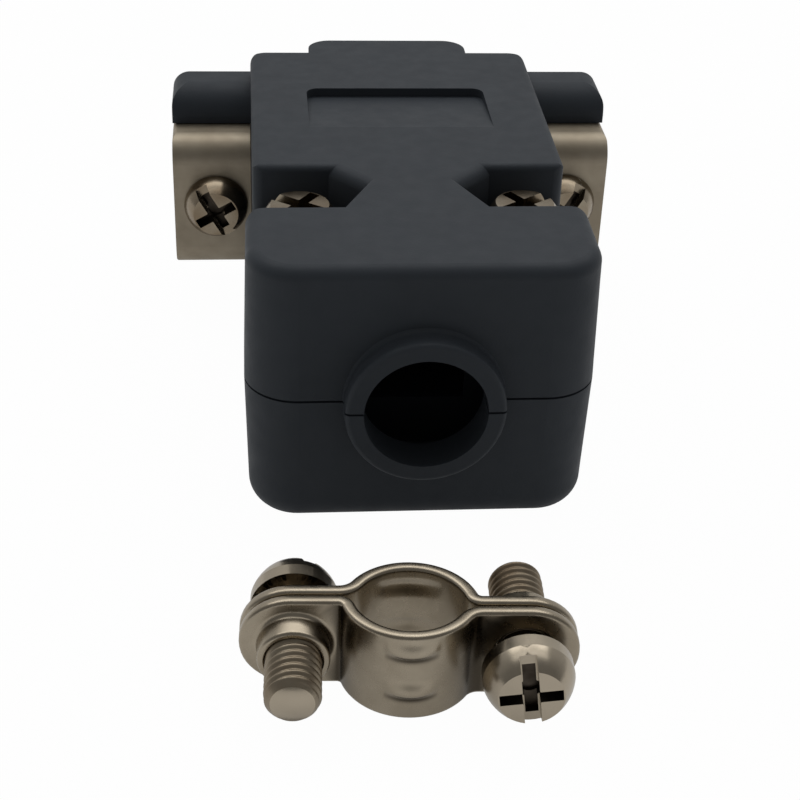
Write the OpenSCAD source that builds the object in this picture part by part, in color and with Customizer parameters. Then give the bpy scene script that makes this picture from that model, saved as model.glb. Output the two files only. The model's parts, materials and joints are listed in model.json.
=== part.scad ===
// D-sub cable connector in a two-part plastic hood, with its cable clamp standing in front

/* [Hood] */

// Length from the front face at the cable end to the rim at the mating end
hood_len = 33.15; // [32.4:0.05:36]
// Height of the upper hood half above the parting plane
upper_h = 8.68; // [8.4:0.01:9.4]
// Height of the lower hood half below the parting plane
lower_h = 9.05; // [8.7:0.01:9.6]
// Step from the main body out to the wider block on each side
block_step = 0.625; // [0.5:0.005:0.9]
// Thickness of the side walls
side_wall = 1.365; // [1.25:0.005:1.6]
// Width of the waist between the screw pockets
neck_w = 5.7; // [5.3:0.1:6.5]
// Length of a screw pocket along the hood
pocket_len = 5.8; // [5.6:0.1:6.4]
// Depth of a screw pocket below the top
pocket_depth = 3.4; // [3.2:0.05:3.8]
// Edge radius at the top of the block
upper_edge_r = 0.85; // [0.6:0.05:1.4]
// Edge radius at the bottom of the block
lower_edge_r = 1.9; // [1.5:0.05:2.2]
// Length of the cable collar in front of the block
collar_len = 1.48; // [1:0.02:2.5]
// Diameter of the cable hole
cable_d = 7.3; // [6.6:0.1:7.6]
// Outer diameter of the cable collar
collar_d = 9.5; // [9.2:0.1:10.6]
// Length of the guide lip at the mating end
lip_len = 2.45; // [1.5:0.05:3.2]
// Width of the guide lip
lip_w = 11.4; // [9:0.1:13]
// Distance from the flange out to the end of each side wing
wing_edge = 0.1; // [0.05:0.01:0.3]
// Thickness of the side wings over the flange
wing_wall = 0.94; // [0.8:0.02:1.3]
// Length of the side wings along the hood
wing_len = 3.8; // [3.5:0.05:4.4]
// Width of the sunken thumb rest
rest_w = 12.2; // [9:0.1:14]
// Depth of the sunken thumb rest at its deep end
rest_depth = 0.6; // [0.3:0.05:0.9]

/* [Connector] */

// Height of the metal flange
flange_h = 12.5; // [12.2:0.05:12.6]
// Distance between the two jackscrews
jack_gap = 24.99; // [24.95:0.01:25.03]
// Distance from a jackscrew to the end of the flange
flange_end = 2.905; // [2.8:0.005:3]
// Length of the plug collar in front of the flange
plug_len = 5.9; // [5.4:0.05:6.2]
// Diameter of a contact pin
pin_d = 1.02; // [0.9:0.01:1.1]
// Distance between neighbouring pins in a row
pin_pitch = 2.77; // [2.7:0.01:2.8]
// Distance between the two rows of pins
row_gap = 2.84; // [2.7:0.01:2.9]

/* [Brackets and jackscrews] */

// Height of the bent saddle brackets
bracket_h = 9.6; // [9.3:0.02:9.7]
// Sheet thickness of the brackets
bracket_t = 0.8; // [0.6:0.05:1]
// Distance of the bracket front from the wing
bracket_reach = 3.2; // [2.8:0.05:3.6]
// Diameter of a jackscrew head
jack_head_d = 4.5; // [4.2:0.05:4.8]
// Diameter of the jackscrew thread
jack_d = 2.84; // [2.7:0.01:2.9]
// Length of jackscrew thread in front of the flange
jack_reach = 5.6; // [4.5:0.1:6.5]

/* [Cable clamp] */

// Width of a clamp plate along the cable
clamp_h = 5.65; // [5.4:0.05:5.9]
// Sheet thickness of a clamp plate
clamp_t = 0.7; // [0.5:0.05:0.75]
// Inner radius of the clamp's arch
clamp_r = 3.1; // [2.9:0.05:3.3]
// Diameter of the clamp screws
clamp_screw_d = 3.05; // [2.8:0.05:3.1]
// Sideways place of the standing clamp
clamp_x = -1.85; // [-4:0.05:2]
// Distance of the standing clamp in front of the block
clamp_away = 13.85; // [13:0.05:20]
// Turn of the standing clamp
clamp_turn = -2.4; // [-8:0.1:4]

/* [Hidden] */

$fn = 48;
eps = 0.01;
hair = 0.004;

// Stations along the hood, with zero at the front of the metal flange
shell_t = 0.5;
rim_y = 0.55;
front_y = rim_y - hood_len;
block_wall = 1.0;
bay_slack = 0.225;
block_len = clamp_h + 2 * bay_slack + 2 * block_wall;
block_back_y = front_y + block_len;
body_near_y = block_back_y + pocket_len;
wing_near_y = rim_y - wing_len;
bracket_y = wing_near_y - bracket_reach;
flange_back_y = -2 * shell_t;

// Widths across the hood, worked out from the jackscrews
jack_x = jack_gap / 2;
jack_side = 2.57;
flange_w = jack_gap + 2 * flange_end;
wing_w = flange_w + 2 * wing_edge;
body_side = jack_x - jack_side;
block_w = 2 * (body_side + block_step);
chamber_half = body_side - side_wall;

// Walls and clearances
block_r = 3.2;
block_back_r = 1.5;
draft = 0.22;
body_near_r = 0.7;
body_far_r = 1.2;
body_edge_r = 0.5;
wing_top_r = 1.2;
wing_near_r = 1.9;
lip_t = 1.6;
lip_r = 1.6;
collar_foot_r = 0.5;
collar_rim_r = 0.3;
parting_gap = 0.14;
parting_depth = 0.3;
bay_r = 1.5;
bay_gap = 0.12;
bay_wall = 1.305;
top_wall = 1.4;
groove_gap = 0.06;
bracket_drop = 0.33;
bracket_top = bracket_h / 2;
bracket_low = bracket_h / 2 + bracket_drop;
groove_half = flange_h / 2 + groove_gap;
upper_wing = groove_half + wing_wall;
wing_drop = 0.42;
lower_wing = groove_half + wing_wall - wing_drop;

// Screws that hold the two hood halves together
pocket_floor = upper_h - pocket_depth;
nut_r = 3.0;
nut_t = 2.4;
nut_gap = 0.12;
nut_wall = 0.327;
nut_fit = 0.03;
hood_screw_x = body_side - nut_r * cos(30) - nut_wall;
hood_screw_y = block_back_y + pocket_len / 2;
hood_screw_r = 1.45;
hood_hole_r = hood_screw_r + 0.15;
hood_head_r = 2.5;
hood_head_t = 2.2;
hood_slot_turn = 35;

// Waist between the pockets and the passage for the wires under it
waist_run = 3.3;
waist_front = 1.6;
waist_back = 2.25;
waist_fill = 1;
far_edge_r = 0.4;
slant_edge_r = 0.8;
near_edge_r = 0.2;
pocket_reach = 15;
passage_half = 3.3;
passage_top = pocket_floor - 1.05;

// Sunken thumb rest
rest_from_rim = 6.65;
rest_run = 6.6;
rest_corner_r = 0.8;

// Sheet bend of the brackets
bend_r = 1.75;
bend_inner_r = bend_r - bracket_t + 0.05;
bracket_top_r = 0.3;
bracket_low_r = 0.6;
bracket_in = body_side + 0.08;
bracket_out = flange_w / 2 + 0.05;

// Screw heads with a driver slot and a cross recess
head_dome_r = 3.2;
head_lean = 12;
head_slope = 40;
slot_w = 0.9;
slot_depth = 0.8;
cross_w = 0.7;
cross_depth = 1.25;
cross_rim = 0.78;
centre_r = 0.6;
centre_depth = 1.45;

// Jackscrews
jack_head_t = 1.6;
jack_neck_r = jack_d / 2 + 0.33;
jack_waist_r = jack_d / 2 - 0.32;
web_hole_r = jack_neck_r + 0.07;
flange_hole_r = jack_d / 2 + 0.105;
jack_seat_gap = 0.03;
jack_shoulder = 0.3;
jack_slot_turn = 60;
jack_tip = 0.5;
jack_tip_r = jack_d / 2 - 0.45;

// Plug collar and insulators, wide side up
shell_wall = 0.45;
flange_r = 2.6;
shell_gap = 0.1;
insul_gap = 0.06;
rear_w = 2 * (chamber_half - shell_gap - shell_wall - insul_gap);
plug_w = rear_w + 1.02;
plug_h = 8.36;
plug_slant = 10;
plug_r = 2.4;
rear_h = plug_h - 0.66;
rear_r = plug_r - 0.4;
rear_len = 5.2;
rear_depth = 3.6;
plug_open = plug_h / 2 + shell_wall + 0.37;
plug_side_wall = 0.6;
rear_open = rear_h / 2 + insul_gap + shell_wall + 0.84;
front_face_y = 0.9;
split_y = -0.5;
pin_tip_y = plug_len - 0.6;
cup_r = 0.92;
cup_len = 4.0;
cup_hole_r = cup_r - 0.3;
pin_fit = 0.03;
pin_seat = 1.2;
pin_taper = 0.4;
pin_tip_r = pin_d / 5;
cup_floor = 0.8;
cup_cut = 1.4;
cup_cut_z = 0.2;

// Cable clamp
clamp_z = -lower_h;
clamp_len = block_w - 2 * bay_wall - 2 * bay_gap;
clamp_gap = clamp_len - clamp_h - 0.25;
clamp_y = front_y - clamp_away;
clamp_mid_z = clamp_h / 2;
arch_r = clamp_r + clamp_t / 2;
arch_drop = 0.6;
ear_step = clamp_t + 0.15;
bend_low = 0.6;
bend_high = 1.2;
ear_round = clamp_h / 2 - 0.05;
clamp_hole_r = clamp_screw_d / 2 + 0.2;
clamp_tap_r = clamp_screw_d / 2 + 0.03;
clamp_collar_r = clamp_tap_r + 0.4;
clamp_collar_t = 1.45;
clamp_collar_rim = 0.2;
clamp_collar_foot = 0.3;
clamp_head_r = 2.45;
clamp_head_t = 2.2;
clamp_screw_len = 7.6;
clamp_tip = 0.4;
clamp_tip_r = clamp_screw_d / 2 - 0.35;
clamp_seat_left = 2.55;
clamp_seat_right = 2.42;
clamp_slot_left = 114;
clamp_slot_right = 97.5;
rib_r = 0.5;
rib_bow = 2.3;
rib_rise = 0.24;
rib_groove_r = 0.42;
rib_groove_bow = 1.9;
rib_groove_depth = 0.18;
rib_half = 50;
rib_gap = 1.35;
rib_lift = 0.35;

// Colours
col_hood = [0.22, 0.23, 0.245];
col_nickel = [0.66, 0.62, 0.56];
col_steel = [0.72, 0.71, 0.69];
col_insul = [0.07, 0.07, 0.075];
col_gold = [0.83, 0.68, 0.36];

// Helpers
function unit(v) = v / norm(v);
function half_angle(a, b, c) = acos(unit(a - b) * unit(c - b)) / 2;
function tangent_points(a, b, c, r) =
  let(t = r / tan(half_angle(a, b, c))) [b + unit(a - b) * t, b + unit(c - b) * t];
function corner_centre(a, b, c, r) =
  b + unit(unit(a - b) + unit(c - b)) * r / sin(half_angle(a, b, c));
function arc_points(cx, cy, r, a0, a1, n) =
  [for (i = [0:n]) let(a = a0 + (a1 - a0) * i / n) [cx + r * cos(a), cy + r * sin(a)]];

// A convex outline with each corner rounded by its own radius, the rounds set out by a hair
module round_outline(p, r, out = 0) {
  n = len(p);
  polygon([for (i = [0:n - 1]) each (r[i] > 0
    ? tangent_points(p[(i + n - 1) % n], p[i], p[(i + 1) % n], r[i])
    : [p[i]])]);
  for (i = [0:n - 1]) {
    if (r[i] > 0) {
      translate(corner_centre(p[(i + n - 1) % n], p[i], p[(i + 1) % n], r[i] - out))
        circle(r = r[i]);
    }
  }
}

// A rectangle between two corners with rounds at lower left, lower right, upper right, upper left
module round_box(x0, y0, x1, y1, r) {
  round_outline([[x0, y0], [x1, y0], [x1, y1], [x0, y1]], r);
}

// Draws a profile of width and height as a bar along the hood
module along_y(y0, y1) {
  translate([0, y1, 0])
    rotate([90, 0, 0])
      linear_extrude(y1 - y0)
        children();
}

// Draws a profile of length and height as a bar across the hood
module along_x(x0, x1) {
  translate([x0, 0, 0])
    rotate([90, 0, 90])
      linear_extrude(x1 - x0)
        children();
}

// A bar along the hood between two corners
module block(x0, y0, z0, x1, y1, z1) {
  translate([x0, y0, z0])
    cube([x1 - x0, y1 - y0, z1 - z0]);
}

// Pan head with a domed flank, a cross recess and a driver slot, face up, seat at zero
module pan_head(r, t) {
  arm = r - cross_rim;
  difference() {
    rotate_extrude() {
      intersection() {
        square([r, t]);
        translate([r - head_dome_r * cos(head_lean), t - head_dome_r * sin(head_slope)])
          circle(r = head_dome_r);
      }
    }
    translate([0, 0, t - centre_depth])
      cylinder(r = centre_r, h = centre_depth + 1);
    translate([-r - 1, -slot_w / 2, t - slot_depth])
      cube([2 * r + 2, slot_w, slot_depth + 1]);
    translate([-cross_w / 2, -arm, t - cross_depth])
      cube([cross_w, 2 * arm, cross_depth + 1]);
    translate([-arm, -cross_w / 2, t - cross_depth])
      cube([2 * arm, cross_w, cross_depth + 1]);
  }
}

// Hood halves
module block_plan(inset, grow) {
  round_box(
    -block_w / 2 + inset, front_y + inset, block_w / 2 - inset, block_back_y + grow,
    [block_r - inset, block_r - inset, block_back_r, block_back_r]);
}

module body_plan(inset, near) {
  round_box(
    -body_side + inset, near, body_side - inset, rim_y - inset,
    [body_near_r, body_near_r, body_far_r, body_far_r]);
}

// Space in front of a wall, drawn as distance and height, the wall's top edge rounded back by r
module space_before(h, r) {
  translate([-pocket_reach, pocket_floor])
    square([pocket_reach, h + 1 - pocket_floor]);
  difference() {
    translate([-eps, h - r])
      square([r + eps, r + 1]);
    translate([r, h - r])
      circle(r = r);
  }
}

// Screw pocket on the right, between the main body, the two slants of the waist and the block
module pocket(h) {
  waist = neck_w / 2;
  waist_y = block_back_y + waist_run;
  far_turn = atan2(pocket_len - waist_run, waist_back);
  near_turn = atan2(waist_run, -waist_front);
  intersection() {
    along_x(0, pocket_reach)
      translate([body_near_y, 0])
        space_before(h, far_edge_r);
    translate([waist, waist_y, 0])
      rotate([0, 0, far_turn])
        along_x(-pocket_reach, pocket_reach)
          space_before(h, slant_edge_r);
    translate([waist, waist_y, 0])
      rotate([0, 0, near_turn])
        along_x(-pocket_reach, pocket_reach)
          space_before(h, near_edge_r);
    block(0, block_back_y, 0, pocket_reach, body_near_y + pocket_reach, h + 1);
  }
}

// Waist that carries the top over from the block to the main body
module neck(h) {
  half = neck_w / 2 + waist_back + waist_fill;
  difference() {
    block(-half, block_back_y - block_wall, 0, half, body_near_y + side_wall, h);
    for (s = [0, 1]) {
      mirror([s, 0, 0])
        pocket(h);
    }
  }
}

// Half profile of the block, leaning in towards the top with a rounded edge
module block_profile(h, edge) {
  intersection() {
    round_outline(
      [[0, 0], [block_r, 0], [block_r - draft, h], [0, h]],
      [0, 0, edge, 0], hair);
    square([block_r + 1, h]);
  }
}

// Block at the cable end, its rounded top edge rolling around the front corners
module cable_block(h, edge) {
  half = block_w / 2 - block_r;
  mid_y = front_y + block_r;
  for (s = [-1, 1]) {
    translate([s * half, mid_y, 0])
      rotate([0, 0, s > 0 ? -90 : 180])
        rotate_extrude(angle = 90)
          block_profile(h, edge);
  }
  along_x(-half, half)
    translate([mid_y, 0])
      mirror([1, 0])
        block_profile(h, edge);
  intersection() {
    along_y(mid_y, block_back_y) {
      translate([half, 0])
        block_profile(h, edge);
      translate([-half, 0])
        mirror([1, 0])
          block_profile(h, edge);
      translate([-half, 0])
        square([2 * half, h]);
    }
    translate([0, 0, -1])
      linear_extrude(h + 2)
        round_box(-block_w / 2, front_y, block_w / 2, block_back_y, [0, 0, block_back_r, block_back_r]);
  }
}

// Collar with a rounded rim, its rounded foot ending inside the block's leaning front
module cable_collar() {
  foot_x = collar_d / 2 + collar_foot_r;
  sunk = block_wall / 2;
  rotate_extrude() {
    round_box(0, -sunk, collar_d / 2, collar_len, [0, 0, collar_rim_r, 0]);
    difference() {
      translate([0, -sunk])
        square([foot_x, sunk + collar_foot_r - draft]);
      translate([foot_x, collar_foot_r - draft])
        circle(r = collar_foot_r);
    }
  }
}

module hood_outside(h, edge, wing) {
  cable_block(h, edge);
  neck(h);
  // floor of the pockets
  block(-body_side, block_back_y - 1, 0, body_side, body_near_y + 1, pocket_floor);
  // main body
  intersection() {
    linear_extrude(h + 1) body_plan(0, body_near_y);
    along_y(body_near_y - 1, rim_y + 1)
      round_box(-body_side, -3, body_side, h, [0, 0, body_edge_r, body_edge_r]);
    along_x(-body_side - 1, body_side + 1)
      round_box(body_near_y, -3, rim_y + 3, h, [0, 0, 0, far_edge_r]);
  }
  // guide lip over the mating end
  translate([0, 0, h - lip_t])
    linear_extrude(lip_t)
      round_box(-lip_w / 2, rim_y - 2, lip_w / 2, rim_y + lip_len, [0, 0, lip_r, lip_r]);
  // side wings
  intersection() {
    along_y(wing_near_y - 1, rim_y)
      round_box(-wing_w / 2, 0, wing_w / 2, wing, [0, 0, wing_top_r, wing_top_r]);
    along_x(-wing_w / 2 - 1, wing_w / 2 + 1)
      round_box(wing_near_y, -3, rim_y + 3, wing, [0, 0, 0, wing_near_r]);
  }
  // cable collar
  intersection() {
    translate([0, front_y, 0])
      rotate([90, 0, 0])
        cable_collar();
    block(-collar_d, front_y - collar_len - 1, 0, collar_d, front_y + block_wall, collar_d);
  }
}

module hood_inside(h, wing_open) {
  // cable hole
  translate([0, front_y + block_wall + eps, 0])
    rotate([90, 0, 0])
      cylinder(r = cable_d / 2, h = block_wall + collar_len + 1);
  // room for the clamp
  translate([0, 0, -1])
    linear_extrude(h - top_wall + 1)
      round_box(
        -clamp_len / 2 - bay_gap, front_y + block_wall,
        clamp_len / 2 + bay_gap, block_back_y - block_wall, [bay_r, bay_r, 0, 0]);
  // passage under the waist
  block(-passage_half, block_back_y - block_wall - 1, -1, passage_half, body_near_y + 3, passage_top);
  // room for the wires
  block(
    -chamber_half, body_near_y + side_wall, -1,
    chamber_half, wing_near_y, h - top_wall);
  // opening behind the flange
  block(-chamber_half, wing_near_y - 1, -1, chamber_half, flange_back_y + eps, rear_open);
  // groove for the flange
  block(
    -wing_w / 2 - 1, flange_back_y, -1,
    wing_w / 2 + 1, groove_gap, groove_half);
  // opening in front of the flange
  block(-wing_w / 2 - 1, 0, -1, wing_w / 2 + 1, rim_y + 1, wing_open);
  block(-body_side + plug_side_wall, 0, -1, body_side - plug_side_wall, rim_y + 1, plug_open);
  // openings for the brackets
  for (s = [-1, 1]) {
    block(
      s > 0 ? body_side : -wing_w / 2 - 1, wing_near_y - 1, -1,
      s > 0 ? wing_w / 2 + 1 : -body_side, flange_back_y + eps, wing_open);
  }
  // holes for the hood screws
  for (s = [-1, 1]) {
    translate([s * hood_screw_x, hood_screw_y, -1])
      cylinder(r = hood_hole_r, h = pocket_floor + 2);
  }
}

// Sunken thumb rest, deep at the mating end and running out towards the cable
module thumb_rest(h) {
  deep_y = rim_y - rest_from_rim;
  flat_y = deep_y - rest_run;
  past_y = deep_y + 1;
  past_z = h - rest_depth * (rest_run + 1) / rest_run;
  intersection() {
    along_x(-rest_w / 2 - 1, rest_w / 2 + 1)
      polygon([[flat_y, h], [past_y, past_z], [past_y, h + 1], [flat_y, h + 1]]);
    translate([0, 0, h - 2])
      linear_extrude(4)
        round_box(-rest_w / 2, flat_y - 1, rest_w / 2, deep_y, [0, 0, rest_corner_r, rest_corner_r]);
  }
}

module hood_half(h, edge, wing, wing_open) {
  difference() {
    hood_outside(h, edge, wing);
    hood_inside(h, wing_open);
    thumb_rest(h);
  }
}

// Thin shadow line around the parting plane
module parting_line() {
  difference() {
    block(-block_w, front_y - collar_len - 1, -1, block_w, rim_y + lip_len + 1, parting_gap);
    translate([0, 0, -2])
      linear_extrude(4) {
        block_plan(parting_depth, 1);
        body_plan(parting_depth, block_back_y - 1);
      }
  }
}

module hood_upper() {
  color(col_hood)
    difference() {
      hood_half(upper_h, upper_edge_r, upper_wing, bracket_top + groove_gap);
      parting_line();
    }
}

module hood_lower() {
  color(col_hood)
    mirror([0, 0, 1])
      difference() {
        hood_half(lower_h, lower_edge_r, lower_wing, bracket_low + groove_gap);
        // seats for the nuts
        for (s = [-1, 1]) {
          translate([s * hood_screw_x, hood_screw_y, pocket_floor - nut_t])
            rotate([0, 0, 30])
              cylinder(r = nut_r + nut_gap, h = nut_t + pocket_depth, $fn = 6);
        }
      }
}

module hood_screw(s) {
  color(col_nickel)
    translate([s * hood_screw_x, hood_screw_y, pocket_floor])
      union() {
        rotate([0, 0, hood_slot_turn * s])
          pan_head(hood_head_r, hood_head_t);
        translate([0, 0, -2 * pocket_floor])
          cylinder(r = hood_screw_r, h = 2 * pocket_floor + eps);
      }
}

module hood_screw_left() hood_screw(-1);
module hood_screw_right() hood_screw(1);

module hood_nut(s) {
  color(col_nickel)
    translate([s * hood_screw_x, hood_screw_y, -pocket_floor])
      difference() {
        rotate([0, 0, 30])
          cylinder(r = nut_r, h = nut_t, $fn = 6);
        translate([0, 0, -1])
          cylinder(r = hood_screw_r + nut_fit, h = nut_t + 2);
      }
}

module hood_nut_left() hood_nut(-1);
module hood_nut_right() hood_nut(1);

// Saddle brackets between the jackscrew heads and the flange
module bracket(s) {
  color(col_nickel)
    difference() {
      intersection() {
        along_x(s > 0 ? bracket_in : -bracket_out, s > 0 ? bracket_out : -bracket_in)
          difference() {
            round_box(
              bracket_y, -bracket_low, flange_back_y, bracket_top,
              [bend_r, 0, 0, bend_r]);
            round_box(
              bracket_y + bracket_t, -bracket_low + bracket_t,
              flange_back_y + 1, bracket_top - bracket_t,
              [bend_inner_r, 0, 0, bend_inner_r]);
          }
        along_y(bracket_y - 1, flange_back_y + 1)
          round_box(
            s > 0 ? bracket_in : -bracket_out, -bracket_low,
            s > 0 ? bracket_out : -bracket_in, bracket_top,
            s > 0 ? [0, bracket_low_r, bracket_top_r, 0] : [bracket_low_r, 0, 0, bracket_top_r]);
      }
      translate([s * jack_x, bracket_y + bracket_t + 1, 0])
        rotate([90, 0, 0])
          cylinder(r = web_hole_r, h = bracket_t + 2);
    }
}

module bracket_left() bracket(-1);
module bracket_right() bracket(1);

// Jackscrews, head at the cable end and thread in front of the flange
module jackscrew(s) {
  color(col_nickel)
    translate([s * jack_x, 0, 0])
      rotate([90, 0, 0])
        union() {
          translate([0, 0, -bracket_y + jack_seat_gap])
            rotate([0, 0, jack_slot_turn * s])
              pan_head(jack_head_d / 2, jack_head_t);
          translate([0, 0, -bracket_y - bracket_t - jack_shoulder])
            cylinder(r = jack_neck_r, h = bracket_t + jack_shoulder + jack_seat_gap + eps);
          cylinder(r = jack_waist_r, h = -bracket_y - bracket_t);
          translate([0, 0, -jack_reach + jack_tip])
            cylinder(r = jack_d / 2, h = jack_reach - jack_tip);
          translate([0, 0, -jack_reach])
            cylinder(r1 = jack_tip_r, r2 = jack_d / 2, h = jack_tip);
        }
}

module jackscrew_left() jackscrew(-1);
module jackscrew_right() jackscrew(1);

// Outline of the plug with its full width across the rounded corners, wide side up
module plug_outline(w, h, r) {
  lean = h * tan(plug_slant);
  side = w / 2 + r * ((1 + sin(plug_slant)) / cos(plug_slant) - 1);
  round_outline(
    [[-side + lean, -h / 2], [side - lean, -h / 2], [side, h / 2], [-side, h / 2]],
    [r, r, r, r], hair);
}

module flange_plate(y0, y1) {
  along_y(y0, y1)
    round_box(
      -flange_w / 2, -flange_h / 2, flange_w / 2, flange_h / 2,
      [flange_r, flange_r, flange_r, flange_r]);
}

module flange_holes() {
  for (s = [-1, 1]) {
    translate([s * jack_x, 2, 0])
      rotate([90, 0, 0])
        cylinder(r = flange_hole_r, h = 4);
  }
}

module shell_front() {
  color(col_steel)
    difference() {
      union() {
        flange_plate(-shell_t, 0);
        along_y(-shell_t / 2, plug_len)
          plug_outline(plug_w + 2 * shell_wall, plug_h + 2 * shell_wall, plug_r + shell_wall);
      }
      along_y(-shell_t - 1, plug_len + 1)
        plug_outline(plug_w, plug_h, plug_r);
      flange_holes();
    }
}

module shell_rear() {
  color(col_steel)
    difference() {
      union() {
        flange_plate(-2 * shell_t, -shell_t);
        along_y(-shell_t - rear_depth, -1.5 * shell_t)
          plug_outline(
            rear_w + 2 * insul_gap + 2 * shell_wall, rear_h + 2 * insul_gap + 2 * shell_wall,
            rear_r + insul_gap + shell_wall);
      }
      along_y(-shell_t - rear_depth - 1, 1)
        plug_outline(rear_w + 2 * insul_gap, rear_h + 2 * insul_gap, rear_r + insul_gap);
      flange_holes();
    }
}

// Place of each contact, five above and four below
function contact_x(i) = i < 5 ? (i - 2) * pin_pitch : (i - 6.5) * pin_pitch;
function contact_z(i) = i < 5 ? row_gap / 2 : -row_gap / 2;

module contact_holes(r, y0, y1) {
  for (i = [0:8]) {
    translate([contact_x(i), y1, contact_z(i)])
      rotate([90, 0, 0])
        cylinder(r = r, h = y1 - y0, $fn = 24);
  }
}

module insulator_front() {
  color(col_insul)
    difference() {
      along_y(split_y, front_face_y)
        plug_outline(plug_w - 2 * insul_gap, plug_h - 2 * insul_gap, plug_r - insul_gap);
      contact_holes(pin_d / 2 + pin_fit, split_y - 1, front_face_y + 1);
    }
}

module insulator_rear() {
  color(col_insul)
    difference() {
      along_y(split_y - rear_len, split_y)
        plug_outline(rear_w, rear_h, rear_r);
      contact_holes(cup_r + pin_fit, split_y - rear_len - 1, split_y - pin_seat);
      contact_holes(pin_d / 2 + pin_fit, split_y - 2, split_y + 1);
    }
}

// A pin with its solder cup at the back
module contact(i) {
  cup_y = split_y - rear_len;
  color(col_gold)
    translate([contact_x(i), 0, contact_z(i)])
      rotate([90, 0, 0])
        difference() {
          union() {
            translate([0, 0, -pin_tip_y + pin_taper])
              cylinder(r = pin_d / 2, h = pin_tip_y - split_y + pin_seat, $fn = 24);
            translate([0, 0, -pin_tip_y])
              cylinder(r1 = pin_tip_r, r2 = pin_d / 2, h = pin_taper, $fn = 24);
            translate([0, 0, -split_y + pin_seat + pin_fit])
              cylinder(r = cup_r, h = -cup_y + split_y - pin_seat - pin_fit + cup_len, $fn = 24);
          }
          translate([0, 0, -cup_y + cup_floor])
            cylinder(r = cup_hole_r, h = cup_len, $fn = 24);
          translate([-cup_r - 1, contact_z(i) > 0 ? cup_cut_z : -cup_r - 1 - cup_cut_z, -cup_y + cup_cut])
            cube([2 * cup_r + 2, cup_r + 1, cup_len]);
        }
}

module contact_1() contact(0);
module contact_2() contact(1);
module contact_3() contact(2);
module contact_4() contact(3);
module contact_5() contact(4);
module contact_6() contact(5);
module contact_7() contact(6);
module contact_8() contact(7);
module contact_9() contact(8);

// Cable clamp, standing on the edges of its plates
module clamp_stand() {
  translate([clamp_x, clamp_y, clamp_z])
    rotate([0, 0, clamp_turn])
      children();
}

// Edge of the clamp strip at a distance from its middle line
function bend_x(level, r) = sqrt(pow(arch_r + r, 2) - pow(level + r + arch_drop, 2));
function bend_a(level, r) = atan2(level + r + arch_drop, bend_x(level, r));
low_x = bend_x(0, bend_low);
low_a = bend_a(0, bend_low);
high_x = bend_x(ear_step, bend_high);
high_a = bend_a(ear_step, bend_high);
function strip_edge(d) = concat(
  [[clamp_len, d]],
  arc_points(low_x, bend_low, bend_low - d, 270, 180 + low_a, 6),
  arc_points(0, -arch_drop, arch_r + d, low_a, 180 - high_a, 30),
  arc_points(-high_x, ear_step + bend_high, bend_high - d, -high_a, -90, 6),
  [[-clamp_len, ear_step + d]]);
function turned(p) = [for (i = [len(p) - 1:-1:0]) p[i]];

// Ribs pressed along the top of the arch, bowed tighter than the arch so that their ends run out
module arch_ribs(top, bow, r) {
  for (k = [-1, 1]) {
    translate([0, top - bow - arch_drop, clamp_mid_z + rib_lift + k * rib_gap])
      rotate([0, 0, 90 - rib_half])
        rotate_extrude(angle = 2 * rib_half)
          translate([bow - r, 0])
            circle(r = r, $fn = 24);
  }
}

// Collar drawn out of the sheet, with a rounded foot and rim
module clamp_collar() {
  foot_x = clamp_collar_r + clamp_collar_foot;
  sunk = clamp_t / 4;
  rotate_extrude() {
    round_box(0, -sunk, clamp_collar_r, clamp_collar_t, [0, 0, clamp_collar_rim, 0]);
    difference() {
      translate([0, -sunk])
        square([foot_x, sunk + clamp_collar_foot]);
      translate([foot_x, clamp_collar_foot])
        circle(r = clamp_collar_foot);
    }
  }
}

module clamp_plate() {
  half = clamp_gap / 2;
  difference() {
    union() {
      intersection() {
        linear_extrude(clamp_h)
          polygon(concat(strip_edge(clamp_t / 2), turned(strip_edge(-clamp_t / 2))));
        along_y(-arch_r - clamp_t, arch_r + clamp_t)
          round_box(
            -clamp_len / 2, 0, clamp_len / 2, clamp_h,
            [ear_round, ear_round, ear_round, ear_round]);
      }
      arch_ribs(arch_r + clamp_t / 2 + rib_rise, rib_bow, rib_r);
      // drawn collar for the thread
      translate([half, clamp_t / 2, clamp_mid_z])
        rotate([-90, 0, 0])
          clamp_collar();
    }
    // inner side of the pressed ribs
    arch_ribs(arch_r - clamp_t / 2 + rib_groove_depth, rib_groove_bow, rib_groove_r);
    translate([half, -2, clamp_mid_z])
      rotate([-90, 0, 0])
        cylinder(r = clamp_tap_r, h = 6);
    translate([-half, -2, clamp_mid_z])
      rotate([-90, 0, 0])
        cylinder(r = clamp_hole_r, h = 6);
  }
}

module clamp_plate_far() {
  color(col_nickel)
    clamp_stand()
      clamp_plate();
}

module clamp_plate_near() {
  color(col_nickel)
    clamp_stand()
      rotate([0, 0, 180])
        clamp_plate();
}

// Clamp screw along the plate normal, seat at zero and thread pointing back
module clamp_screw(slot_turn) {
  union() {
    rotate([90, 0, 0])
      rotate([0, 0, slot_turn])
        pan_head(clamp_head_r, clamp_head_t);
    translate([0, clamp_screw_len - clamp_tip, 0])
      rotate([90, 0, 0])
        cylinder(r = clamp_screw_d / 2, h = clamp_screw_len - clamp_tip + eps);
    translate([0, clamp_screw_len, 0])
      rotate([90, 0, 0])
        cylinder(r1 = clamp_tip_r, r2 = clamp_screw_d / 2, h = clamp_tip);
  }
}

module clamp_screw_right() {
  color(col_nickel)
    clamp_stand()
      translate([clamp_gap / 2, -clamp_seat_right, clamp_mid_z])
        clamp_screw(clamp_slot_right);
}

module clamp_screw_left() {
  color(col_nickel)
    clamp_stand()
      translate([-clamp_gap / 2, clamp_seat_left, clamp_mid_z])
        rotate([0, 0, 180])
          clamp_screw(clamp_slot_left);
}

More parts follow.
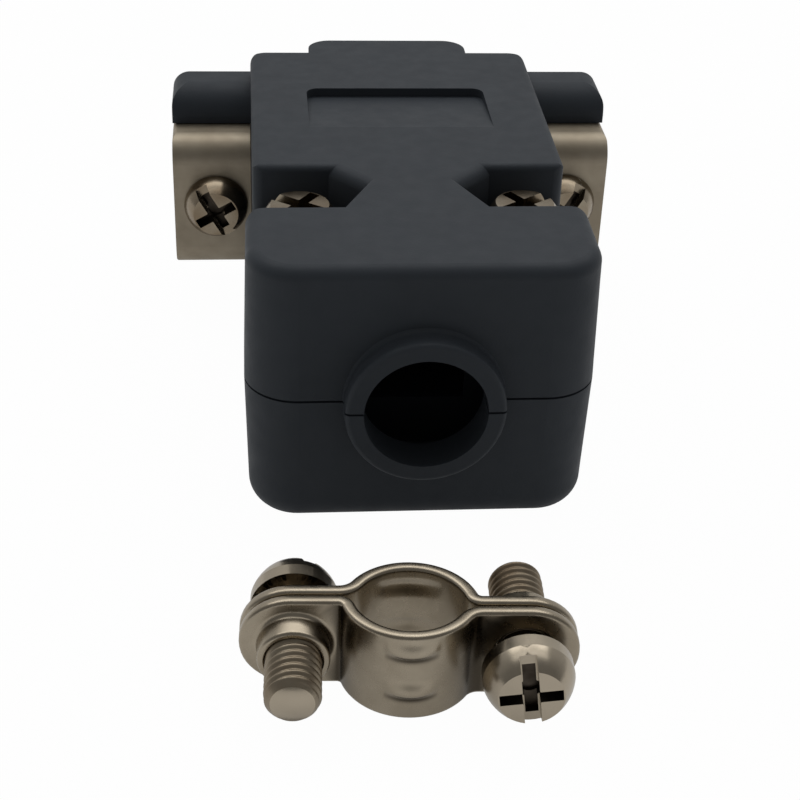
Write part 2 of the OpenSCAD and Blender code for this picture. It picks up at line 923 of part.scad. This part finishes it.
hood_upper();
hood_lower();
hood_screw_left();
hood_screw_right();
hood_nut_left();
hood_nut_right();
bracket_left();
bracket_right();
jackscrew_left();
jackscrew_right();
shell_front();
shell_rear();
insulator_front();
insulator_rear();
contact_1();
contact_2();
contact_3();
contact_4();
contact_5();
contact_6();
contact_7();
contact_8();
contact_9();
clamp_plate_near();
clamp_plate_far();
clamp_screw_left();
clamp_screw_right();
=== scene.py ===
"""Looks of the D-sub cable connector: materials, edges, threads, clamp plates, studio and camera."""

import json
import math

import bmesh
import bpy
from mathutils import Matrix, Vector


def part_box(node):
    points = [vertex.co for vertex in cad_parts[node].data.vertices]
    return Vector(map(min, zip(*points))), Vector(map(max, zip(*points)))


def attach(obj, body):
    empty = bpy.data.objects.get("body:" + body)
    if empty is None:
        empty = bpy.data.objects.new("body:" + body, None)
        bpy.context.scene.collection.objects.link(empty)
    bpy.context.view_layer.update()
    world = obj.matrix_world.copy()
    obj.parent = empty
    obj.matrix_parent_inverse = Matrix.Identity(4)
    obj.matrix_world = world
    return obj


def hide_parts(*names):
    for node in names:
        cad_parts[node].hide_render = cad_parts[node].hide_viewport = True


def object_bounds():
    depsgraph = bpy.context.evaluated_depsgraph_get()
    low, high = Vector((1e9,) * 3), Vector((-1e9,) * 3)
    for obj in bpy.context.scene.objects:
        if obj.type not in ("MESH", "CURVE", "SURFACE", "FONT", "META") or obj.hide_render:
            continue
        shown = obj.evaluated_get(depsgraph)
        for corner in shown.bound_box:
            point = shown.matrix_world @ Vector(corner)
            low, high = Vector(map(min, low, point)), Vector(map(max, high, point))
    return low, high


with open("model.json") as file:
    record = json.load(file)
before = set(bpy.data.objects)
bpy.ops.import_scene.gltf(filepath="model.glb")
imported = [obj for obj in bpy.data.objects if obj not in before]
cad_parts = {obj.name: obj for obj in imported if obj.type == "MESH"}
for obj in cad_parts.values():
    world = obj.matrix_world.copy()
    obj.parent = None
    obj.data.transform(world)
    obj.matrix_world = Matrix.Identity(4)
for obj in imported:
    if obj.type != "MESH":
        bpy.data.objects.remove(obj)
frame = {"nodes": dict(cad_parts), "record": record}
cad_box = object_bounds()

# Lengths are in millimetres and angles in degrees, unless a line says otherwise
MM = 0.001

# Camera of the photograph, an image of 800 by 800, its angles in radians
FOCAL_PX = 1671.7
IMAGE_PX = 800
SENSOR = 36.0
CAMERA_PLACE = (-9.760, -114.649, 53.327)
YAW, PITCH, ROLL = math.radians(5.792), math.radians(32.823), math.radians(2.275)
CLIP_START = 5.0

# Colours, linear
CHARCOAL = (0.037, 0.043, 0.051)
CHARCOAL_PALE = (0.039, 0.0455, 0.054)
NICKEL = (0.31, 0.265, 0.20)
NICKEL_PALE = (0.375, 0.325, 0.25)
NICKEL_BRIGHT = (0.41, 0.355, 0.275)
NICKEL_BROWN = (0.22, 0.17, 0.115)
# Painted shade: the dark colour put under the ribs and beside the bends of the clamp sheet, and on the
# deep faces of the screw recesses
PAINTED_SHADE = (0.035, 0.028, 0.02)
RECESS_PALE = (0.12, 0.10, 0.08)
TIN = (0.56, 0.55, 0.53)
TIN_DULL = (0.515, 0.505, 0.49)
BLACK = (0.012, 0.012, 0.013)
BLACK_PALE = (0.0156, 0.0156, 0.0169)
GOLD = (0.80, 0.58, 0.24)
GOLD_DULL = (0.72, 0.522, 0.216)
WHITE = (0.82, 0.82, 0.82)

# Surface noise: cells per metre, octaves, the part of its range that is used, depth of the relief
PLASTIC_TONE, PLASTIC_GLOSS = 260, 900
METAL_TONE, METAL_GLOSS, METAL_MARKS = 420, 1500, 5200
TONE_OCTAVES, GLOSS_OCTAVES, RELIEF_OCTAVES = 3.0, 4.0, 2.0
TONE_RANGE, GLOSS_RANGE = (0.35, 0.65), (0.3, 0.7)
PLASTIC_DEPTH, METAL_DEPTH = 0.02, 0.01
PLASTIC_RELIEF = 0.35
PLASTIC_IOR, PLASTIC_SPECULAR = 1.5, 0.16

# Floor, with its shares of plain white as the camera and as reflections see it
FLOOR_SIZE, FLOOR_ROUGH = 3000, 0.9
CAMERA_SHARE = 0.98
MIRRORED_SHARE = 0.42

# Overhead panels, their power in watts, and the room's light from the camera's side to the far side
PANEL_TARGET = (0, -20, 0)
PANELS = {
    "far_strip": {"place": (0, 170, 380), "size": (700, 200), "power": 0.75},
    "near_strip": {"place": (0, -10, 400), "size": (700, 100), "power": 0.2},
}
ROOM_Y = (-0.2, 0.6)
ROOM_LEVEL = (0.2, 0.6)

# Rounds along the sharp edges of CAD nodes
SOFT_EDGES = {
    "hood_upper": 0.12, "hood_lower": 0.12, "bracket_left": 0.2, "bracket_right": 0.2,
    "hood_screw_left": 0.06, "hood_screw_right": 0.06, "shell_front": 0.06, "shell_rear": 0.06,
}
SOFT_EDGE_ANGLE, SOFT_EDGE_STEPS = 35, 2

# Screws: the threads, and the turn of the standing clamp in radians
CLAMP_THREAD = {"radius": 1.525, "pitch": 0.5, "start": 3.6, "tip": 0.4, "tip_in": 0.35}
JACK_THREAD = {"radius": 1.42, "pitch": 0.635, "start": 8.08, "tip": 0.5, "tip_in": 0.45}
THREAD_DEPTH, CREST_POWER, THREAD_OVERLAP = 0.36, 0.7, 0.02
TURN_STEPS, PITCH_STEPS = 48, 10
CLAMP_TURN = math.radians(-2.4)

# Material slots of a threaded screw, and where the deep faces of its recess lie
THREAD_SLOT, RECESS_SLOT = 1, 2
RECESS_FROM, RECESS_TO, RECESS_LEAN = 0.9, 1.6, 0.25

# Edges of the new pieces stay sharp above this angle
SHARP_ANGLE = 42

# Clamp plates: the strip, its arch and bends, the ears, the holes and the drawn collar
PLATE_LEN, PLATE_H, PLATE_T, EDGE_R = 18.25, 5.65, 0.7, 0.22
ARCH_R, ARCH_DROP = 3.45, 0.6
EAR_STEP, BEND_LOW, BEND_HIGH = 0.85, 0.6, 1.2
EAR_END_R, HOLE_X = 2.775, 6.175
PLAIN_R, TAP_R, HOLE_EDGE = 1.725, 1.555, 0.08
COLLAR_R, COLLAR_T, COLLAR_FOOT, COLLAR_RIM = 1.955, 1.45, 0.3, 0.2

# Ribs pressed out of the arch, with a shallow groove behind each
RIB_LEVELS = (1.825, 4.525)
RIB_HALF, RIB_ABOVE, RIB_BELOW, RIB_RISE, RIB_BOW = 1.35, 0.95, 0.42, 0.24, 0.17
GROOVE_HALF, GROOVE_ABOVE, GROOVE_BELOW, GROOVE_DEPTH = 2.2, 0.5, 0.9, 0.13

# Painted shade below the ribs, in shares of RIB_BELOW, and beside the bends, darkening the sheet where
# shade falls there
PAINTED_SHADE_LAYER = "painted_shade"
SHADE_AT, SHADE_SPREAD, SHADE_SHARE = 1.1, 0.42, 0.95
BEND_SHADE, BEND_FADE = 0.85, 2.2

# Steps of the clamp plates' mesh
ARCH_STEPS, BEND_STEPS, ROW_STEPS, ROUND_STEPS = 64, 8, 52, 4
EAR_SIDE_STEPS, EAR_END_STEPS = 4, 12


def new_material(name):
    """An empty node material with its shader and output."""
    mat = bpy.data.materials.new(name)
    mat.use_nodes = True
    tree = mat.node_tree
    tree.nodes.clear()
    out = tree.nodes.new("ShaderNodeOutputMaterial")
    shader = tree.nodes.new("ShaderNodeBsdfPrincipled")
    tree.links.new(shader.outputs["BSDF"], out.inputs["Surface"])
    return mat, tree, shader


def noise(tree, cells, octaves=TONE_OCTAVES, stretch=None):
    """Noise in the object's own space, its scale in cells per metre."""
    coord = tree.nodes.new("ShaderNodeTexCoord")
    tex = tree.nodes.new("ShaderNodeTexNoise")
    tex.inputs["Scale"].default_value = cells
    tex.inputs["Detail"].default_value = octaves
    if stretch:
        mapping = tree.nodes.new("ShaderNodeMapping")
        mapping.inputs["Scale"].default_value = stretch
        tree.links.new(coord.outputs["Object"], mapping.inputs["Vector"])
        tree.links.new(mapping.outputs["Vector"], tex.inputs["Vector"])
    else:
        tree.links.new(coord.outputs["Object"], tex.inputs["Vector"])
    return tex.outputs["Fac"]


def tone(tree, fac, low, high):
    """Colour between two tones."""
    node = tree.nodes.new("ShaderNodeValToRGB")
    for stop, place, color in zip(node.color_ramp.elements, TONE_RANGE, (low, high)):
        stop.position = place
        stop.color = (*color, 1)
    tree.links.new(fac, node.inputs["Fac"])
    return node.outputs["Color"]


def spread(tree, fac, source, target):
    """Number from one range mapped to another."""
    node = tree.nodes.new("ShaderNodeMapRange")
    for socket, value in zip(("From Min", "From Max", "To Min", "To Max"), (*source, *target)):
        node.inputs[socket].default_value = value
    tree.links.new(fac, node.inputs["Value"])
    return node.outputs["Result"]


def relief(tree, shader, fac, strength, depth):
    """Fine relief of the surface."""
    node = tree.nodes.new("ShaderNodeBump")
    node.inputs["Strength"].default_value = strength
    node.inputs["Distance"].default_value = depth * MM
    tree.links.new(fac, node.inputs["Height"])
    tree.links.new(node.outputs["Normal"], shader.inputs["Normal"])


def plastic(name, low, high, rough, grain):
    """Moulded plastic with a fine eroded grain."""
    mat, tree, shader = new_material(name)
    tree.links.new(tone(tree, noise(tree, PLASTIC_TONE), low, high), shader.inputs["Base Color"])
    gloss = spread(tree, noise(tree, PLASTIC_GLOSS), GLOSS_RANGE, rough)
    tree.links.new(gloss, shader.inputs["Roughness"])
    shader.inputs["IOR"].default_value = PLASTIC_IOR
    shader.inputs["Specular IOR Level"].default_value = PLASTIC_SPECULAR
    relief(tree, shader, noise(tree, grain, RELIEF_OCTAVES), PLASTIC_RELIEF, PLASTIC_DEPTH)
    return mat


def with_painted_shade(tree, color):
    """Colour darkened by painted shade where the mesh's layer says so."""
    place = tree.nodes.new("ShaderNodeAttribute")
    place.attribute_name = PAINTED_SHADE_LAYER
    mix = tree.nodes.new("ShaderNodeMix")
    mix.data_type = "RGBA"
    mix.inputs["B"].default_value = (*PAINTED_SHADE, 1)
    tree.links.new(place.outputs["Fac"], mix.inputs["Factor"])
    tree.links.new(color, mix.inputs["A"])
    return mix.outputs["Result"]


def metal(name, low, high, rough, marks=(1.0, 1.0, 1.0), strength=0.05, painted_shade=False):
    """Plated metal with faint drawing marks, long where their scale is small, and uneven gloss."""
    mat, tree, shader = new_material(name)
    color = tone(tree, noise(tree, METAL_TONE), low, high)
    tree.links.new(with_painted_shade(tree, color) if painted_shade else color, shader.inputs["Base Color"])
    gloss = spread(tree, noise(tree, METAL_GLOSS, GLOSS_OCTAVES), GLOSS_RANGE, rough)
    tree.links.new(gloss, shader.inputs["Roughness"])
    shader.inputs["Metallic"].default_value = 1.0
    relief(tree, shader, noise(tree, METAL_MARKS, RELIEF_OCTAVES, marks), strength, METAL_DEPTH)
    return mat


hood_plastic = plastic("hood_plastic", CHARCOAL, CHARCOAL_PALE, rough=(0.48, 0.58), grain=7000)
insulator_plastic = plastic("insulator_plastic", BLACK, BLACK_PALE, rough=(0.38, 0.5), grain=6000)
# The clamp sheet takes painted shade from its mesh layer, under its ribs and beside its bends
nickel_sheet = metal("nickel_sheet", NICKEL, NICKEL_PALE, rough=(0.25, 0.31),
                     marks=(0.3, 1.0, 1.0), strength=0.04, painted_shade=True)
nickel_bracket = metal("nickel_bracket", NICKEL, NICKEL_PALE, rough=(0.50, 0.56),
                       marks=(1.0, 0.3, 1.0), strength=0.06)
nickel_screw = metal("nickel_screw", NICKEL_PALE, NICKEL_BRIGHT, rough=(0.22, 0.27))
# Darker, browner nickel: on the hood screws it is painted shade for the dark pocket their heads reflect;
# the jackscrews take this browner nickel too
nickel_brown_and_shade = metal("nickel_brown_and_shade", NICKEL_BROWN, NICKEL, rough=(0.22, 0.27))
nickel_thread = metal("nickel_thread", NICKEL_BROWN, NICKEL, rough=(0.36, 0.46), strength=0.08)
# Nickel darkened to painted shade for the deep faces of the screw recesses
nickel_recess_painted_shade = metal("nickel_recess_painted_shade", PAINTED_SHADE, RECESS_PALE, rough=(0.4, 0.5), strength=0.08)
shell_metal = metal("shell_metal", TIN_DULL, TIN, rough=(0.30, 0.34),
                    marks=(0.25, 1.0, 1.0), strength=0.03)
contact_gold = metal("contact_gold", GOLD_DULL, GOLD, rough=(0.18, 0.26),
                     marks=(1.0, 0.3, 1.0), strength=0.06)
MATERIALS = {
    "hood_plastic": hood_plastic, "insulator_plastic": insulator_plastic,
    "nickel_sheet": nickel_sheet, "nickel_screw": nickel_screw,
    "shell_metal": shell_metal, "contact_gold": contact_gold,
}

# CAD nodes take the material of their slot
for part in frame["record"]["subparts"]:
    node = frame["nodes"][part["node"]]
    node.data.materials.clear()
    node.data.materials.append(MATERIALS[part["material_slot"]])
for side in ("left", "right"):
    frame["nodes"]["bracket_" + side].data.materials[0] = nickel_bracket
    # The hood screws take the darker nickel, as painted shade for the dark pocket they sit in
    frame["nodes"]["hood_screw_" + side].data.materials[0] = nickel_brown_and_shade


# Soft edges
for name, width in SOFT_EDGES.items():
    edge = frame["nodes"][name].modifiers.new("soft_edges", "BEVEL")
    edge.width = width * MM
    edge.segments = SOFT_EDGE_STEPS
    edge.limit_method = "ANGLE"
    edge.angle_limit = math.radians(SOFT_EDGE_ANGLE)
    edge.harden_normals = True


# Pieces that stand for a CAD node
def finished_piece(mesh, name, place, materials, body, node_name):
    """Object from a mesh in its own millimetres, put in place of a CAD node."""
    mesh.transform(place)
    for face in mesh.faces:
        face.smooth = True
    data = bpy.data.meshes.new(name)
    mesh.to_mesh(data)
    mesh.free()
    data.set_sharp_from_angle(angle=math.radians(SHARP_ANGLE))
    for material in materials:
        data.materials.append(material)
    obj = bpy.data.objects.new(name, data)
    bpy.context.collection.objects.link(obj)
    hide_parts(node_name)
    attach(obj, body)


def bridge(mesh, first, second, closed=True):
    """Faces between two rows of as many points."""
    count = len(first)
    pairs = [(i, (i + 1) % count) for i in range(count if closed else count - 1)]
    return [mesh.faces.new((first[i], first[k], second[k], second[i])) for i, k in pairs]


# Threaded screws in place of the plain CAD shanks
def thread_ring(mesh, z, limit, thread):
    """Ring of points on the thread at one height, no further out than the limit."""
    radius, pitch = thread["radius"], thread["pitch"]
    ring = []
    for j in range(TURN_STEPS):
        phase = (z / pitch - j / TURN_STEPS) % 1.0
        crest = (0.5 + 0.5 * math.cos(2 * math.pi * phase)) ** CREST_POWER
        r = min(radius - THREAD_DEPTH * pitch * (1 - crest), limit)
        angle = 2 * math.pi * j / TURN_STEPS
        ring.append(mesh.verts.new((r * math.cos(angle), r * math.sin(angle), z)))
    return ring


def thread_rod(mesh, start, end, thread):
    """Adds a right-hand thread around the z axis, tapering at its tip."""
    rows = round((end - start) / thread["pitch"] * PITCH_STEPS)
    rings = []
    for i in range(rows + 1):
        z = start + (end - start) * i / rows
        near_tip = max(0.0, 1 - (end - z) / thread["tip"])
        rings.append(thread_ring(mesh, z, thread["radius"] - thread["tip_in"] * near_tip, thread))
    for low, high in zip(rings, rings[1:]):
        for face in bridge(mesh, low, high):
            face.material_index = THREAD_SLOT
    mesh.faces.new(rings[-1])
    mesh.faces.new(tuple(reversed(rings[0])))


def mark_recess(mesh):
    """Gives the deep faces of the cross recess, which look inwards, their own material, whose dark
    colour is painted shade in the recess.
    """
    for face in mesh.faces:
        middle = face.calc_center_median()
        deepest = max(v.co.z for v in face.verts)
        outward = Vector((middle.x, middle.y, 0)).normalized()
        if RECESS_FROM < deepest < RECESS_TO and face.normal.dot(outward) < RECESS_LEAN:
            face.material_index = RECESS_SLOT


def screw_place(node, toward_back, turn):
    """Place of a screw that lies along z in its own millimetres, and its length."""
    flip = Matrix.Rotation(math.pi, 4, "Z") if toward_back else Matrix.Identity(4)
    place = Matrix.Rotation(turn, 4, "Z") @ flip @ Matrix.Rotation(-math.pi / 2, 4, "X")
    points = [place.inverted() @ v.co for v in node.data.vertices]
    low = [min(p[i] for p in points) for i in range(3)]
    high = [max(p[i] for p in points) for i in range(3)]
    centre = Vector(((low[0] + high[0]) / 2, (low[1] + high[1]) / 2, low[2]))
    return place @ Matrix.Translation(centre) @ Matrix.Scale(MM, 4), (high[2] - low[2]) / MM


def threaded_screw(node_name, body, thread, head, toward_back=False, turn=0.0):
    """Copy of a CAD screw whose plain shank is swapped for a threaded one."""
    node = frame["nodes"][node_name]
    place, length = screw_place(node, toward_back, turn)
    mesh = bmesh.new()
    mesh.from_mesh(node.data)
    mesh.transform(place.inverted())
    cut = mesh.verts[:] + mesh.edges[:] + mesh.faces[:]
    bmesh.ops.bisect_plane(
        mesh, geom=cut, plane_co=(0, 0, thread["start"]), plane_no=(0, 0, 1), clear_outer=True)
    mesh.normal_update()
    mark_recess(mesh)
    rim = [e for e in mesh.edges if e.is_boundary]
    bmesh.ops.contextual_create(mesh, geom=rim)
    thread_rod(mesh, thread["start"] - THREAD_OVERLAP, length, thread)
    materials = [head, nickel_thread, nickel_recess_painted_shade]
    finished_piece(mesh, node_name + "_threaded", place, materials, body, node_name)


threaded_screw("clamp_screw_right", "root", CLAMP_THREAD, nickel_screw, turn=CLAMP_TURN)
threaded_screw("clamp_screw_left", "root", CLAMP_THREAD, nickel_screw, toward_back=True, turn=CLAMP_TURN)
for side in ("left", "right"):
    threaded_screw("jackscrew_" + side, "jackscrew_" + side, JACK_THREAD, nickel_brown_and_shade)


# Clamp plates pressed from sheet, in place of the CAD solids
def arc(centre, radius, start, end, steps):
    """Points of an arc with the direction out of its centre, angles in degrees."""
    points = []
    for i in range(steps + 1):
        a = math.radians(start + (end - start) * i / steps)
        out = (math.cos(a), math.sin(a))
        points.append((centre[0] + radius * out[0], centre[1] + radius * out[1], out))
    return points


def bend_place(level, radius):
    """Sideways place of a bend's centre beside the arch, and the angle at which it meets the arch."""
    rise = level + radius + ARCH_DROP
    x = math.sqrt((ARCH_R + radius) ** 2 - rise ** 2)
    return x, math.degrees(math.atan2(rise, x))


def bend_stations(points, along):
    """Stations of a bend, where the outer side of the sheet looks towards the bend's centre."""
    return [(x, y, (-u, -v), along) for x, y, (u, v) in points]


def strip_stations():
    """Middle line of the strip from the right ear to the left one: place, normal, way along the arch."""
    low_x, low_a = bend_place(0, BEND_LOW)
    high_x, high_a = bend_place(EAR_STEP, BEND_HIGH)
    low = arc((low_x, BEND_LOW), BEND_LOW, 270, 180 + low_a, BEND_STEPS)[:-1]
    arch = arc((0, -ARCH_DROP), ARCH_R, low_a, 180 - high_a, ARCH_STEPS)
    high = arc((-high_x, EAR_STEP + BEND_HIGH), BEND_HIGH, -high_a, -90, BEND_STEPS)[1:]
    stations = bend_stations(low, ARCH_R * math.radians(90 - low_a))
    stations += [(x, y, out, ARCH_R * math.atan2(out[0], out[1])) for x, y, out in arch]
    return stations + bend_stations(high, ARCH_R * math.radians(high_a - 90))


def run_out(along, half):
    """Share of a rib's height at a place along the arch, running out towards its ends."""
    return max(0.0, 1 - (along / half) ** 2)


def rib(along, z, half, above, below):
    """Height of the pressed ribs, from 0 beside them to 1 at their middle."""
    z -= RIB_BOW * (along / half) ** 2
    away = min(max((z - level) / above, (level - z) / below) for level in RIB_LEVELS)
    return run_out(along, half) * math.cos(math.pi / 2 * min(1.0, away)) ** 2


def rib_painted_shade(along, z):
    """Share of painted shade along the lower edge of the ribs."""
    z -= RIB_BOW * (along / RIB_HALF) ** 2
    line = min(abs((level - z) / RIB_BELOW - SHADE_AT) for level in RIB_LEVELS)
    return SHADE_SHARE * math.sqrt(run_out(along, RIB_HALF)) * math.exp(-(line / SHADE_SPREAD) ** 2)


def edge_profile():
    """Rounded edge of the sheet from its outer to its inner side: distance out, level."""
    flat = PLATE_T / 2 - EDGE_R
    outer = arc((0, flat), EDGE_R, 90, 0, ROUND_STEPS)[1:]
    inner = arc((0, -flat), EDGE_R, 0, -90, ROUND_STEPS)[:-1]
    return [(x, y) for x, y, out in outer + inner]


def strip_section(mesh, station, edge, bend_shade):
    """Closed ring of points around the strip at one station, with its painted shade."""
    x, y, (nx, ny), along = station
    rows = [EDGE_R + (PLATE_H - 2 * EDGE_R) * i / ROW_STEPS for i in range(ROW_STEPS + 1)]
    outer = [(z, PLATE_T / 2 + RIB_RISE * rib(along, z, RIB_HALF, RIB_ABOVE, RIB_BELOW))
             for z in rows]
    inner = [(z, -PLATE_T / 2 + GROOVE_DEPTH * rib(along, z, GROOVE_HALF, GROOVE_ABOVE, GROOVE_BELOW))
             for z in reversed(rows)]
    top = [(rows[-1] + away, level) for away, level in edge]
    foot = [(rows[0] - away, level) for away, level in reversed(edge)]
    ring = [mesh.verts.new((x + nx * d, y + ny * d, z)) for z, d in outer + top + inner + foot]
    # Painted shade below the ribs and beside the bends goes into a layer of the mesh
    layer = mesh.verts.layers.float[PAINTED_SHADE_LAYER]
    for vert in ring[:len(rows)]:
        vert[layer] = max(rib_painted_shade(along, vert.co.z), bend_shade)
    return ring


def hole_profile(collar):
    """Radius and level from the outer side of the sheet through the hole to its inner side."""
    half = PLATE_T / 2
    if not collar:
        inner = [(PLAIN_R, -half + HOLE_EDGE), (PLAIN_R + HOLE_EDGE, -half)]
        return [(PLAIN_R + HOLE_EDGE, half), (PLAIN_R, half - HOLE_EDGE)] + inner
    foot = arc((COLLAR_R + COLLAR_FOOT, half + COLLAR_FOOT), COLLAR_FOOT, 270, 180, ROUND_STEPS)
    rim = arc((COLLAR_R - COLLAR_RIM, half + COLLAR_T - COLLAR_RIM), COLLAR_RIM, 0, 90, ROUND_STEPS)
    top = [(TAP_R + HOLE_EDGE, half + COLLAR_T), (TAP_R, half + COLLAR_T - HOLE_EDGE)]
    inner = [(TAP_R, -half + HOLE_EDGE), (TAP_R + HOLE_EDGE, -half)]
    return [(r, y) for r, y, out in foot + rim] + top + inner


def ear_outline(cut_x):
    """Points along the top, round end and foot of an ear, with the direction out of it."""
    end_x, end_r = PLATE_LEN / 2 - EAR_END_R, EAR_END_R - EDGE_R
    side_x = [cut_x + (end_x - cut_x) * i / EAR_SIDE_STEPS for i in range(1, EAR_SIDE_STEPS)]
    top = [(x, PLATE_H - EDGE_R, (0, 1)) for x in side_x]
    upper = arc((end_x, PLATE_H - EAR_END_R), end_r, 90, 0, EAR_END_STEPS)
    lower = arc((end_x, EAR_END_R), end_r, 0, -90, EAR_END_STEPS)
    foot = [(x, EDGE_R, (0, -1)) for x in reversed(side_x)]
    return top + upper + lower + foot


def pierce(mesh, outer, inner, middle, profile):
    """Faces from the outer rim of an ear through its hole to the inner rim."""
    ways = [Vector((v.co.x - middle.x, 0, v.co.z - middle.z)).normalized() for v in outer]
    rings = [outer]
    for radius, level in profile:
        rings.append([mesh.verts.new(middle + radius * way + Vector((0, level, 0))) for way in ways])
    rings.append(inner)
    for first, second in zip(rings, rings[1:]):
        bridge(mesh, first, second)


def ear(mesh, cut, edge, side, level, cut_x, collar):
    """Flat ear with a round end and a hole, joined to the strip's last ring of points."""
    count, depth = ROW_STEPS + 1, len(edge)
    outer_rows, top = cut[:count], cut[count:count + depth]
    inner_rows, foot = cut[count + depth:2 * count + depth], cut[2 * count + depth:]
    section = [(0, PLATE_T / 2), *edge, (0, -PLATE_T / 2)]
    stations = [[outer_rows[-1], *top, inner_rows[0]]]
    for x, z, (u, v) in ear_outline(cut_x):
        stations.append([mesh.verts.new((side * (x + u * a), level + d, z + v * a)) for a, d in section])
    stations.append([outer_rows[0], *reversed(foot), inner_rows[-1]])
    for first, second in zip(stations, stations[1:]):
        bridge(mesh, first, second, closed=False)

    outer = outer_rows + [station[0] for station in stations[1:-1]]
    inner = inner_rows[::-1] + [station[-1] for station in stations[1:-1]]
    pierce(mesh, outer, inner, Vector((side * HOLE_X, level, PLATE_H / 2)), hole_profile(collar))


def pressed_plate(name, place):
    """Plate of the cable clamp, with a plain hole at one end and a tapped collar at the other."""
    mesh = bmesh.new()
    mesh.verts.layers.float.new(PAINTED_SHADE_LAYER)
    edge = edge_profile()
    stations = strip_stations()
    sections = []
    for station in stations:
        # Painted shade beside the bends, fading out away from them
        from_bend = min(stations[0][3] - station[3], station[3] - stations[-1][3])
        bend_shade = BEND_SHADE * max(0.0, 1 - from_bend / BEND_FADE) ** 2
        sections.append(strip_section(mesh, station, edge, bend_shade))
    for first, second in zip(sections, sections[1:]):
        bridge(mesh, first, second)
    ear(mesh, sections[0], edge, 1, 0, stations[0][0], collar=True)
    ear(mesh, sections[-1], edge, -1, EAR_STEP, -stations[-1][0], collar=False)
    bmesh.ops.recalc_face_normals(mesh, faces=mesh.faces[:])
    finished_piece(mesh, name + "_sheet", place, [nickel_sheet], "root", name)


corners = [corner for side in ("near", "far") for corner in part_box("clamp_plate_" + side)]
stand = Vector([(min(c[i] for c in corners) + max(c[i] for c in corners)) / 2 for i in range(3)])
stand.z = cad_box[0][2]
far_place = Matrix.Translation(stand) @ Matrix.Rotation(CLAMP_TURN, 4, "Z") @ Matrix.Scale(MM, 4)
pressed_plate("clamp_plate_far", far_place)
pressed_plate("clamp_plate_near", far_place @ Matrix.Rotation(math.pi, 4, "Z"))


# Studio
def stage_plane(name, size, z, material):
    """Square floor that isn't part of the object."""
    mesh = bpy.data.meshes.new(name)
    h = size * MM / 2
    mesh.from_pydata([(-h, -h, z), (h, -h, z), (h, h, z), (-h, h, z)], [], [(0, 1, 2, 3)])
    mesh.materials.append(material)
    obj = bpy.data.objects.new(name, mesh)
    bpy.context.collection.objects.link(obj)


def math_node(tree, operation, *values):
    """Math node whose inputs are links or plain numbers."""
    node = tree.nodes.new("ShaderNodeMath")
    node.operation = operation
    for socket, value in zip(node.inputs, values):
        if isinstance(value, float):
            socket.default_value = value
        else:
            tree.links.new(value, socket)
    return node.outputs[0]


def studio_white(name):
    """White floor that keeps a trace of the shadow for the camera."""
    mat, tree, shader = new_material(name)
    shader.inputs["Base Color"].default_value = (*WHITE, 1)
    shader.inputs["Roughness"].default_value = FLOOR_ROUGH
    glow = tree.nodes.new("ShaderNodeEmission")
    glow.inputs["Color"].default_value = (1, 1, 1, 1)
    glow.inputs["Strength"].default_value = 1.0
    ray = tree.nodes.new("ShaderNodeLightPath").outputs
    mirrored = math_node(tree, "MAXIMUM", ray["Is Glossy Ray"], ray["Is Transmission Ray"])
    dimmed = math_node(tree, "MULTIPLY", mirrored, MIRRORED_SHARE)
    shown = math_node(tree, "MULTIPLY_ADD", ray["Is Camera Ray"], CAMERA_SHARE, dimmed)
    mix = tree.nodes.new("ShaderNodeMixShader")
    tree.links.new(shown, mix.inputs["Fac"])
    tree.links.new(shader.outputs["BSDF"], mix.inputs[1])
    tree.links.new(glow.outputs["Emission"], mix.inputs[2])
    tree.links.new(mix.outputs["Shader"], tree.nodes["Material Output"].inputs["Surface"])
    return mat


stage_plane("floor", FLOOR_SIZE, cad_box[0][2], studio_white("studio_white"))


def area_light(name, place, size, power):
    """Soft panel that faces the object."""
    data = bpy.data.lights.new(name, "AREA")
    data.shape = "RECTANGLE"
    data.size, data.size_y = size[0] * MM, size[1] * MM
    data.energy = power
    obj = bpy.data.objects.new(name, data)
    bpy.context.collection.objects.link(obj)
    obj.location = Vector(place) * MM
    aim = (Vector(PANEL_TARGET) - Vector(place)).normalized()
    obj.rotation_euler = aim.to_track_quat("-Z", "Y").to_euler()


for name, panel in PANELS.items():
    area_light(name, **panel)


def studio_world():
    """Dim room, darker on the side of the camera."""
    world = bpy.data.worlds.new("studio")
    world.use_nodes = True
    tree = world.node_tree
    coord = tree.nodes.new("ShaderNodeTexCoord")
    axes = tree.nodes.new("ShaderNodeSeparateXYZ")
    background = tree.nodes["Background"]
    background.inputs["Color"].default_value = (1, 1, 1, 1)
    tree.links.new(coord.outputs["Generated"], axes.inputs["Vector"])
    strength = spread(tree, axes.outputs["Y"], ROOM_Y, ROOM_LEVEL)
    tree.links.new(strength, background.inputs["Strength"])
    return world


bpy.context.scene.world = studio_world()


# Camera
def photo_camera():
    """Camera that stands where the photograph was taken."""
    ahead = Vector((math.sin(YAW) * math.cos(PITCH), math.cos(YAW) * math.cos(PITCH), -math.sin(PITCH)))
    level = Vector((math.cos(YAW), -math.sin(YAW), 0))
    upright = level.cross(ahead)
    right = math.cos(ROLL) * level + math.sin(ROLL) * upright
    up = -math.sin(ROLL) * level + math.cos(ROLL) * upright
    data = bpy.data.cameras.new("camera")
    data.sensor_width = SENSOR
    data.lens = FOCAL_PX / IMAGE_PX * SENSOR
    data.clip_start = CLIP_START * MM
    camera = bpy.data.objects.new("camera", data)
    bpy.context.collection.objects.link(camera)
    turn = Matrix((right, up, -ahead)).transposed()
    camera.matrix_world = Matrix.Translation(Vector(CAMERA_PLACE) * MM) @ turn.to_4x4()
    return camera


bpy.context.scene.camera = photo_camera()
bpy.context.scene.view_settings.view_transform = "Standard"
